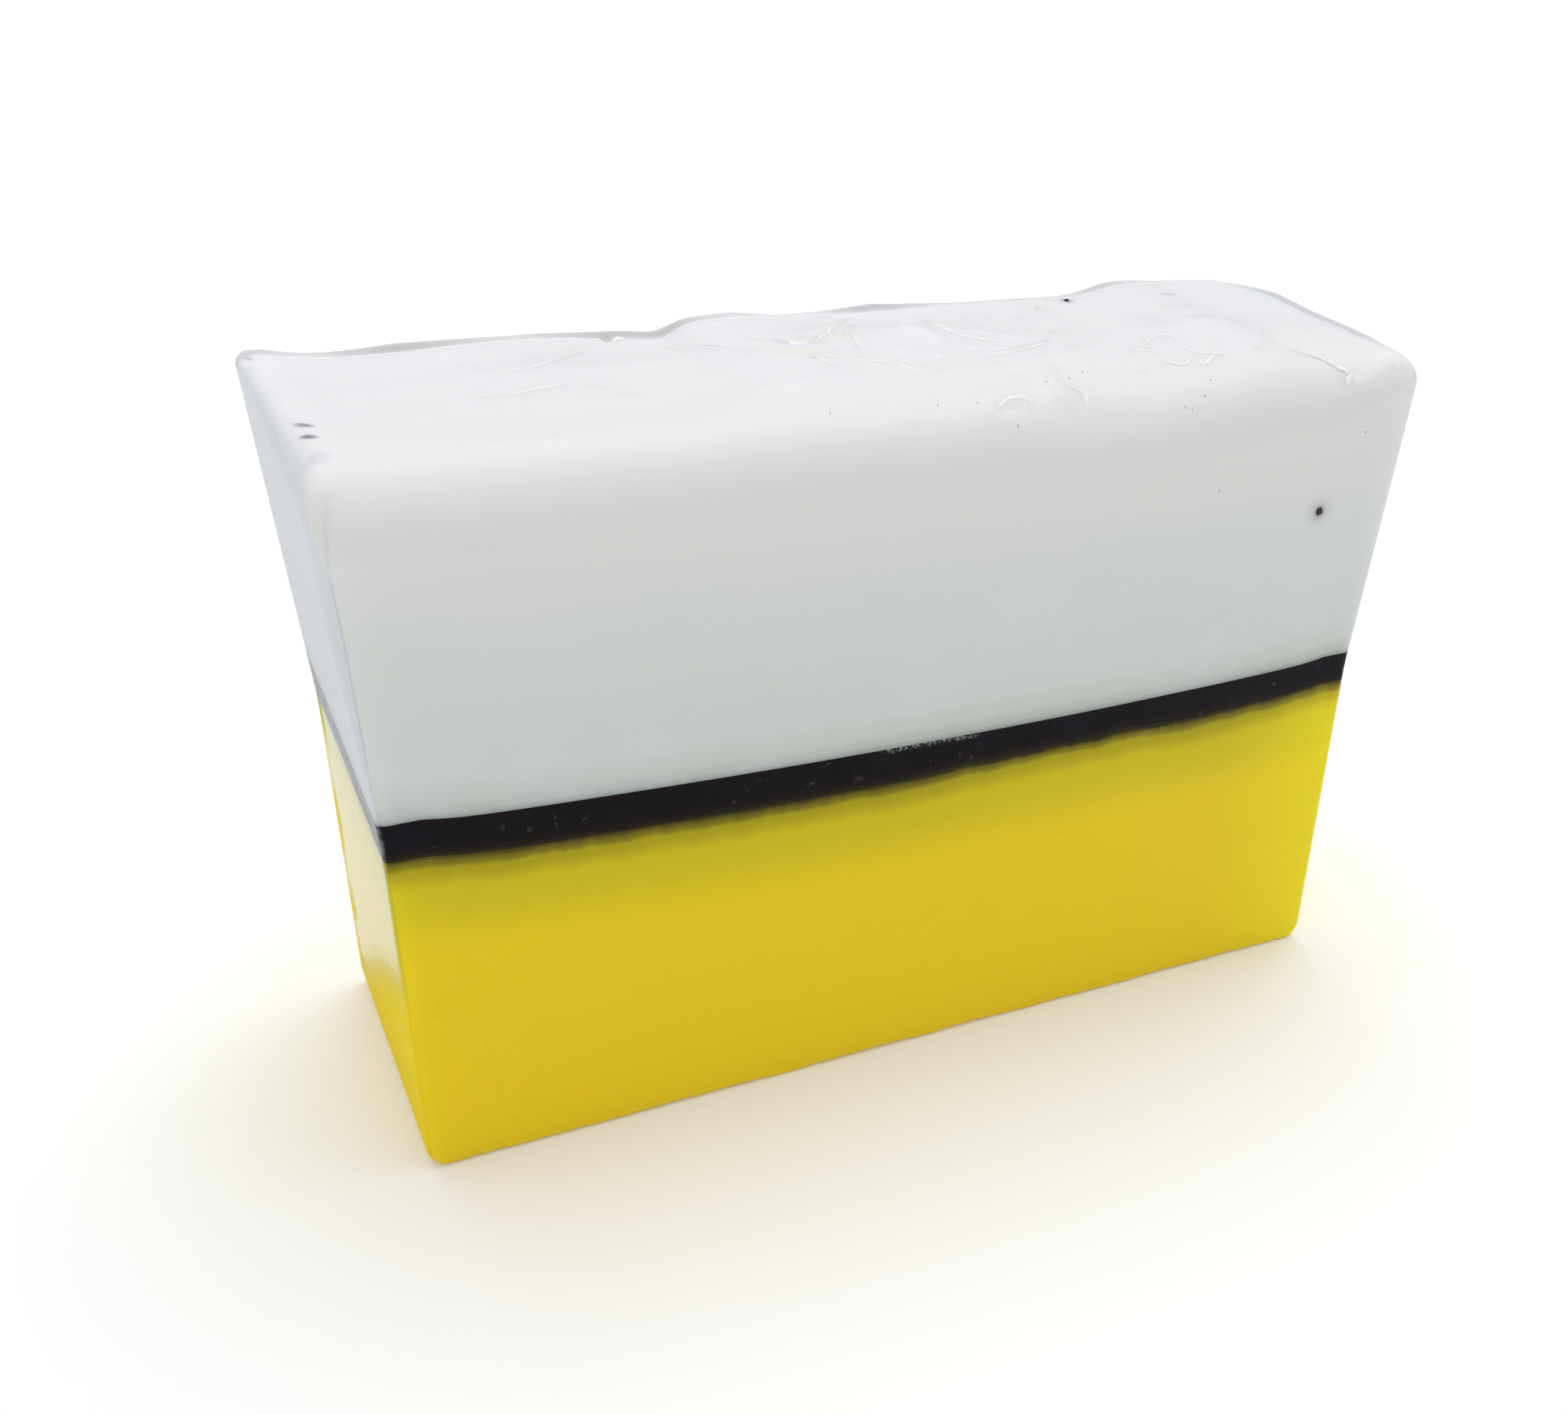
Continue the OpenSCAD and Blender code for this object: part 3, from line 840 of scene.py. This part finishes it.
def soap(nodes, translucence, depth, gloss):
    """Sets what all soaps share, and how much and how deep light gets in."""
    shader = nodes.shader
    shader.inputs["IOR"].default_value = 1.46
    shader.inputs["Subsurface Weight"].default_value = translucence
    shader.inputs["Subsurface Scale"].default_value = depth
    shader.inputs["Specular IOR Level"].default_value = gloss


# Colours of the white soap by height above the band in mm, with painted shade: it darkens and greens near
# the band and lower down, and is lighter and bluer on top, as light falls from above
WHITE_PAINTED_SHADE_BY_HEIGHT = [
    (0, (0.425, 0.48, 0.43)),
    (0.6, (0.555, 0.61, 0.56)),
    (1.5, (0.645, 0.69, 0.65)),
    (3.2, (0.705, 0.738, 0.715)),
    (10, (0.74, 0.772, 0.742)),
    (19, (0.81, 0.82, 0.795)),
    (24, (0.83, 0.838, 0.857)),
]
# painted shade on the lips along the top's back edge and right end
LIP_PAINTED_SHADE_GREY = (0.61, 0.61, 0.635)
MARK_DEPTH = 9  # how far down a mark on the top reaches, in mm: enough for the top's whole relief
TOP_MM = TOP_Z / MM
FRONT_MM = -HALF_T / MM

# Stains over and around each crumb, from left to right, as (radii in mm, turn in degrees, strength)
STAINS = [
    [((0.95, 0.42, 1.5), -47, 0.75)],
    [((1.1, 0.42, 1.5), -47, 0.65)],
    [((0.75, 0.75, 0.75), 0, 0.5), ((1.6, 1.2, 1), 0, 0.12)],
    [((1.0, 0.5, 1.5), -30, 0.25)],
    [((0.75, 0.75, 0.75), 0, 0.55), ((1.6, 1.6, 1.6), 0, 0.16)],
]
BLOTCH = ((-38.7, -7.9, 50), (1.1, 1.3, 6), -45, 0.2)  # a faint grey patch in front of the left crumbs

# Tiny dark dots of painted shade, standing for pinholes that the surface doesn't have, in mm: in the top as
# (x, y) and in the front as (x, z)
PINHOLE_SHADE_DOTS = [(20.9, -10.7), (21.4, -10.9), (22.8, -10.3), (24.0, -9.2), (-5.9, -8.4), (2.1, -8.5),
            (5.0, -8.8), (7.1, -10.8), (-0.4, 6.6), (11.2, -7.5), (13.7, -6.6), (15.0, -6.2)]
FACE_PINHOLE_SHADE_DOTS = [(23.5, 42.2), (36.3, 45.2)]

# Marks on the top, as (centre, radii, turn), with x and y in mm and the turn in degrees
# painted shade in two creases of the top, as dark grey streaks
CREASE_SHADES = [
    ((-39.9, 11.1), (0.5, 0.13), -60),
    ((12.1, -7.6), (0.5, 0.12), 0),
]
CLEAR_PATCHES = [  # thin, slightly yellow soap
    ((1.5, -0.6), (5.5, 1.3), -32),
    ((-3.5, 1.6), (4.0, 1.2), -35),
    ((0.6, 4.4), (2.2, 1.6), 20),
]


def white_marks():
    """Every small mark in the white soap, as (centre in mm, radii in mm, turn, strength, colour). The
    pinholes and creases among them are painted shade.
    """
    dark = (0.2, 0.2, 0.22)
    centre, radii, turn, strength = BLOTCH
    marks = [(centre, radii, turn, strength, (0.3, 0.33, 0.45))]
    # painted shade: a dark dot for each pinhole
    marks += [((x, y, TOP_MM), (0.11, 0.19, MARK_DEPTH), 0, 0.8, dark) for x, y in PINHOLE_SHADE_DOTS]
    marks += [((x, FRONT_MM, z), (0.13, 1, 0.13), 0, 0.8, dark) for x, z in FACE_PINHOLE_SHADE_DOTS]
    # painted shade for the creases; the clear patches are the soap's own colour
    flat = [(*mark, 0.6, (0.3, 0.3, 0.36)) for mark in CREASE_SHADES]
    flat += [(*mark, 0.45, (0.84, 0.84, 0.7)) for mark in CLEAR_PATCHES]
    marks += [((*at, TOP_MM), (*radii, MARK_DEPTH), *rest) for at, radii, *rest in flat]
    return marks


def white_material():
    n = Nodes("white_soap_look")
    soap(n, 0.45, 2.5 * MM, 0.28)
    n.shader.inputs["Subsurface Radius"].default_value = (1.0, 0.95, 0.85)
    # painted shade: the white is darker towards the band and lighter and bluer on top
    base = n.ramp(n.attribute("above_band"), WHITE_PAINTED_SHADE_BY_HEIGHT, (0, 25))
    base = n.mix(n.map_range(n.noise(140, 3), (0.35, 0.7), (0, 0.22)), base, (0.79, 0.80, 0.82))
    # painted shade: grey on the raised back and right lips
    base = n.mix(n.math("MULTIPLY", n.attribute("lip"), 0.85), base, LIP_PAINTED_SHADE_GREY)
    # painted shade: the ends are painted half way to a darker blue-grey
    base = n.mix(n.math("MULTIPLY", n.ends(), 0.5), base, (0.665, 0.70, 0.79))
    for (centre, _), spots in zip(CRUMBS, STAINS):
        for radii, turn, strength in spots:
            base = n.mix(n.spot(centre, radii, turn, strength), base, (0.045, 0.04, 0.085))
    for centre, radii, turn, strength, colour in white_marks():
        base = n.mix(n.spot([c * MM for c in centre], radii, turn, strength), base, colour)
    n.link(base, n.shader.inputs["Base Color"])
    rough = n.map_range(n.noise(90, 4), (0.3, 0.7), (0.34, 0.48))
    n.link(n.mix_value(n.ends(), rough, 0.5), n.shader.inputs["Roughness"])
    n.bump([n.noise(260, 4), n.noise(1500, 2)], [0.25, 0.12], 0.12 * MM)
    return n.material


def painted_highlight_fold_material():
    n = Nodes("white_soap_fold_painted_highlight_look")
    soap(n, 0.0, 1.0 * MM, 0.5)
    # painted highlight: the crests are painted lighter than the top, for the light that they catch
    n.link(n.ramp(n.noise(300, 3), [(0.35, (0.90, 0.905, 0.915)), (0.7, (0.96, 0.96, 0.955))]),
           n.shader.inputs["Base Color"])
    n.link(n.map_range(n.noise(500, 3), (0.3, 0.7), (0.12, 0.25)), n.shader.inputs["Roughness"])
    n.bump([n.noise(1800, 2)], [0.2], 0.05 * MM)
    return n.material


# Colours of the black soap by height above the yellow in mm, and the grey streaks on its left end, which are
# a painted reflection
BLACK_BY_HEIGHT = [
    (-0.4, (0.16, 0.13, 0.008)),
    (0.0, (0.03, 0.024, 0.005)),
    (0.4, (0.012, 0.009, 0.005)),
    (0.9, (0.006, 0.004, 0.006)),
]
END_PAINTED_REFLECTION_STREAKS = [(0.35, (0.05, 0.05, 0.06)), (0.62, (0.21, 0.21, 0.24))]
WORN = (4 * MM, 19 * MM)  # between these places along the bar the band's lower edge is a little higher
BUBBLY = (-2.3 * MM, 4.1 * MM)  # and between these it has pale bubbles along its upper edge, painted as pale specks that are partly the bubbles and partly painted highlight


def black_material():
    n = Nodes("black_soap_look")
    soap(n, 0.0, 1 * MM, 0.1)
    along_bar = n.place_along("X")
    wisps = n.map_range(n.noise(420, 4, 0.6, (1, 1, 0.5)), (0.3, 0.7), (0.12, -0.12))
    worn = n.math("MULTIPLY", n.hill(along_bar, *WORN, 4 * MM), -0.3)
    up = n.math("ADD", n.math("ADD", n.attribute("above_yellow"), wisps), worn)
    base = n.ramp(up, BLACK_BY_HEIGHT, (-0.5, 3))
    base = n.mix(n.map_range(n.noise(350, 4), (0.5, 0.75), (0, 0.6)), base, (0.010, 0.007, 0.014))
    bubbly = n.math("MULTIPLY", n.hill(along_bar, *BUBBLY, 1 * MM),
                    n.map_range(n.attribute("below_white"), (0.45, 0.1), (0, 1)))
    # partly painted highlight: pale specks for the bubbles and their glints
    bubble_and_glint_specks = n.map_range(n.noise(6000, 2), (0.48, 0.58), (0, 0.85))
    base = n.mix(n.math("MULTIPLY", bubbly, bubble_and_glint_specks), base, (0.30, 0.33, 0.31))
    base = n.mix(n.map_range(n.noise(1100, 3), (0.66, 0.74), (0, 0.5)), base, (0.07, 0.065, 0.06))
    # painted reflection: grey streaks, on the left end only
    grey = n.ramp(n.noise(1300, 3, 0.6, (1, 0.3, 1)), END_PAINTED_REFLECTION_STREAKS)
    base = n.mix(n.math("MULTIPLY", n.ends(), n.left_half()), base, grey)
    n.link(base, n.shader.inputs["Base Color"])
    rough = n.map_range(n.noise(300, 4), (0.3, 0.7), (0.3, 0.5))
    n.link(n.mix_value(n.ends(), rough, 0.25), n.shader.inputs["Roughness"])
    n.bump([n.noise(700, 4), n.noise(2600, 2)], [0.35, 0.2], 0.12 * MM)
    return n.material


# Colours of the yellow soap by depth below the band in mm: the band shades it from above
YELLOW_BY_DEPTH = [
    (0.0, (0.045, 0.037, 0.005)),
    (0.45, (0.19, 0.155, 0.006)),
    (1.0, (0.46, 0.385, 0.009)),
    (2.6, (0.69, 0.575, 0.012)),
    (8.0, (0.91, 0.67, 0.015)),
    (22, (0.96, 0.68, 0.015)),
]
YELLOW_EDGE_GLOW = (1.0, 0.86, 0.013)  # brighter where light comes in from the ends
SHADED_LEFT_END_COLOUR = (0.5, 0.47, 0.05)  # painted shade: the left end, which set against the tray, is painted darker and more olive under its gloss


def yellow_material():
    n = Nodes("yellow_soap_look")
    soap(n, 0.3, 3.0 * MM, 0.14)
    n.shader.inputs["Subsurface Radius"].default_value = (1.0, 0.75, 0.12)
    along_bar, depth, height_up = (n.place_along(axis) for axis in "XYZ")
    wisps = n.map_range(n.noise(420, 4, 0.6, (1, 1, 0.5)), (0.3, 0.7), (-0.12, 0.12))
    worn = n.math("MULTIPLY", n.hill(along_bar, *WORN, 4 * MM), 0.3)
    below = n.math("ADD", n.math("ADD", n.attribute("below_band"), wisps), worn)
    base = n.ramp(below, YELLOW_BY_DEPTH, (0, 25))
    base = n.mix(n.map_range(n.noise(45, 1), (0.25, 0.8), (0, 0.1)), base, (0.88, 0.72, 0.015))
    near_right = n.map_range(along_bar, (26 * MM, 41 * MM), (0, 0.6))
    near_left = n.map_range(along_bar, (-35 * MM, -41 * MM), (0, 0.5))
    glow = n.math("MULTIPLY", n.math("ADD", near_right, near_left), n.map_range(below, (0.3, 2.5), (0, 1)))
    base = n.mix(glow, base, YELLOW_EDGE_GLOW)
    line = n.math("ADD", height_up, n.math("MULTIPLY", depth, 0.6))
    foot = n.math("ADD", line, n.map_range(n.noise(120, 3), (0.3, 0.7), (-0.6 * MM, 0.6 * MM)))
    away = n.math("ADD", depth, n.map_range(n.noise(200, 3), (0.3, 0.7), (-1.5 * MM, 1.5 * MM)))
    glossy_and_shaded = n.math("MULTIPLY", n.map_range(foot, (5 * MM, 12 * MM), (0, 1)),
                   n.map_range(away, (12.5 * MM, 8.5 * MM), (0.2, 1)))
    glossy_and_shaded = n.math("MULTIPLY", glossy_and_shaded, n.left_half())
    # painted shade: the glossy part of the left end is painted darker and more olive
    base = n.mix(n.math("MULTIPLY", n.math("MULTIPLY", n.ends(), glossy_and_shaded), 0.5), base, SHADED_LEFT_END_COLOUR)
    n.link(base, n.shader.inputs["Base Color"])
    rough = n.map_range(n.noise(110, 4), (0.3, 0.7), (0.26, 0.4))
    n.link(n.mix_value(n.ends(), rough, n.mix_value(glossy_and_shaded, 0.8, 0.12)), n.shader.inputs["Roughness"])
    n.bump([n.noise(240, 4), n.noise(1700, 2)], [0.2, 0.1], 0.1 * MM)
    return n.material


def crumb_material():
    n = Nodes("black_crumb_look")
    soap(n, 0.0, 1 * MM, 0.3)
    n.link(n.ramp(n.noise(900, 3), [(0.35, (0.012, 0.012, 0.03)), (0.7, (0.04, 0.04, 0.09))]),
           n.shader.inputs["Base Color"])
    n.link(n.map_range(n.noise(900, 3), (0.3, 0.7), (0.4, 0.7)), n.shader.inputs["Roughness"])
    n.bump([n.noise(3000, 3)], [0.4], 0.05 * MM)
    return n.material


# ---------------------------------------------------------------- the pieces

yellow = yellow_layer(yellow_material())
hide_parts("yellow_base_layer")

black = black_layer(black_material())
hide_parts("black_middle_layer")

white = white_layer(white_material())
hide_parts("white_top_layer")

folds = fold_pieces(painted_highlight_fold_material())

crumbs = crumb_pieces(crumb_material())
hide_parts("black_soap_crumbs")


# ---------------------------------------------------------------- studio

FLOOR_HALF = 5.0  # half the width of the floor
FLOOR_GLOW = (0.4, 1.7)  # the floor gets brighter between these distances, as a lit studio floor does
FLOOR_LIGHT = (0.06, 0.6)  # from this much light of its own to this much
BACKDROP_AWAY = 3.0  # the backdrop's distance
BACKDROP_Z = (-0.5, 3.5)  # its lowest and highest point
BACKDROP_SIDES = 64
BACKDROP_COLOURS = [(0.3, (0.93, 0.93, 0.93)), (0.7, (0.96, 0.96, 0.96))]
FLOOR_COLOURS = [(0.3, (0.965, 0.97, 0.985)), (0.7, (0.98, 0.985, 0.995))]


def make_floor():
    n = Nodes("floor_look")
    n.link(n.ramp(n.noise(3, 2), FLOOR_COLOURS), n.shader.inputs["Base Color"])
    away = n.new("ShaderNodeVectorMath", operation="LENGTH")
    n.link(n.place, away.inputs[0])
    n.link(n.map_range(away.outputs["Value"], FLOOR_GLOW, FLOOR_LIGHT), n.shader.inputs["Emission Strength"])
    n.shader.inputs["Emission Color"].default_value = (1, 1, 1, 1)
    n.shader.inputs["Roughness"].default_value = 0.9
    n.shader.inputs["Specular IOR Level"].default_value = 0.1
    mesh = bpy.data.meshes.new("floor")
    corners = [(-FLOOR_HALF, -FLOOR_HALF, 0), (FLOOR_HALF, -FLOOR_HALF, 0), (FLOOR_HALF, FLOOR_HALF, 0),
               (-FLOOR_HALF, FLOOR_HALF, 0)]
    mesh.from_pydata(corners, [], [(0, 1, 2, 3)])
    mesh.materials.append(n.material)
    floor = bpy.data.objects.new("floor", mesh)
    floor.location.z = low.z - 0.02 * MM
    bpy.context.scene.collection.objects.link(floor)


def make_backdrop():
    """A pale wall all round. Only the camera sees it, so it doesn't change the light on the bar."""
    n = Nodes("backdrop_look")
    n.link(n.ramp(n.noise(0.3, 2), BACKDROP_COLOURS), n.shader.inputs["Emission Color"])
    n.shader.inputs["Emission Strength"].default_value = 1
    n.shader.inputs["Base Color"].default_value = (0, 0, 0, 1)
    n.shader.inputs["Specular IOR Level"].default_value = 0
    turns = [2 * math.pi * i / BACKDROP_SIDES for i in range(BACKDROP_SIDES)]
    around = [(BACKDROP_AWAY * math.cos(turn), BACKDROP_AWAY * math.sin(turn)) for turn in turns]
    points = [(x, y, z) for z in BACKDROP_Z for x, y in around]
    faces = [(i, (i + 1) % BACKDROP_SIDES, (i + 1) % BACKDROP_SIDES + BACKDROP_SIDES, i + BACKDROP_SIDES)
             for i in range(BACKDROP_SIDES)]
    mesh = bpy.data.meshes.new("backdrop")
    mesh.from_pydata(points, [], faces)
    mesh.materials.append(n.material)
    backdrop = bpy.data.objects.new("backdrop", mesh)
    backdrop.visible_diffuse = False
    backdrop.visible_glossy = False
    backdrop.visible_transmission = False
    backdrop.visible_shadow = False
    bpy.context.scene.collection.objects.link(backdrop)


SKY_TOP = 0.8  # the sky is brightest from this far up, where overhead is 1


def make_world(horizon, zenith):
    """A plain sky that gets brighter from the horizon to overhead."""
    world = bpy.data.worlds.new("studio")
    world.use_nodes = True
    tree = world.node_tree
    place = tree.nodes.new("ShaderNodeTexCoord")
    parts = tree.nodes.new("ShaderNodeSeparateXYZ")
    level = tree.nodes.new("ShaderNodeMapRange")
    tree.links.new(place.outputs["Generated"], parts.inputs["Vector"])
    tree.links.new(parts.outputs["Z"], level.inputs["Value"])
    level.inputs["From Min"].default_value = 0
    level.inputs["From Max"].default_value = SKY_TOP
    level.inputs["To Min"].default_value = horizon
    level.inputs["To Max"].default_value = zenith
    background = tree.nodes["Background"]
    tree.links.new(level.outputs["Result"], background.inputs["Strength"])
    background.inputs["Color"].default_value = (1, 1, 1, 1)
    bpy.context.scene.world = world


def make_light(name, azimuth, elevation, distance, size, power, colour):
    """A square soft box that looks at the middle of the bar from an angle. Azimuth 0 is the front."""
    target = Vector((0, 0, TOP_Z / 2))
    data = bpy.data.lights.new(name, "AREA")
    data.size = size
    data.energy = power
    data.color = colour
    light = bpy.data.objects.new(name, data)
    a, e = math.radians(azimuth), math.radians(elevation)
    away = Vector((math.sin(a) * math.cos(e), -math.cos(a) * math.cos(e), math.sin(e)))
    light.location = target + away * distance
    light.rotation_euler = away.to_track_quat("Z", "Y").to_euler()
    bpy.context.scene.collection.objects.link(light)


# The camera that was solved for the photo, looking at its target from an angle
CAMERA = {"azimuth": -24.104, "elevation": 25.882, "roll": 0.807, "distance": 124.66 * MM,
          "target": Vector((-5.145, 0, 24.516)) * MM, "lens": 37.284, "sensor": 36}


def make_camera():
    data = bpy.data.cameras.new("camera")
    data.sensor_fit = "HORIZONTAL"
    data.sensor_width = CAMERA["sensor"]
    data.lens = CAMERA["lens"]
    data.clip_start = 1 * MM
    camera = bpy.data.objects.new("camera", data)
    a, e = math.radians(CAMERA["azimuth"]), math.radians(CAMERA["elevation"])
    away = Vector((math.sin(a) * math.cos(e), -math.cos(a) * math.cos(e), math.sin(e)))
    camera.location = CAMERA["target"] + away * CAMERA["distance"]
    turn = away.to_track_quat("Z", "Y").to_matrix().to_4x4()
    roll = Matrix.Rotation(math.radians(CAMERA["roll"]), 4, "Z")
    camera.rotation_euler = (turn @ roll).to_euler()
    bpy.context.scene.collection.objects.link(camera)
    bpy.context.scene.camera = camera


make_floor()
make_backdrop()
make_world(horizon=0.235, zenith=0.82)
make_light("key_above", azimuth=150, elevation=72, distance=1.6, size=1.4, power=11.6,
           colour=(0.97, 0.985, 1.0))
make_camera()
bpy.context.scene.view_settings.view_transform = "Standard"
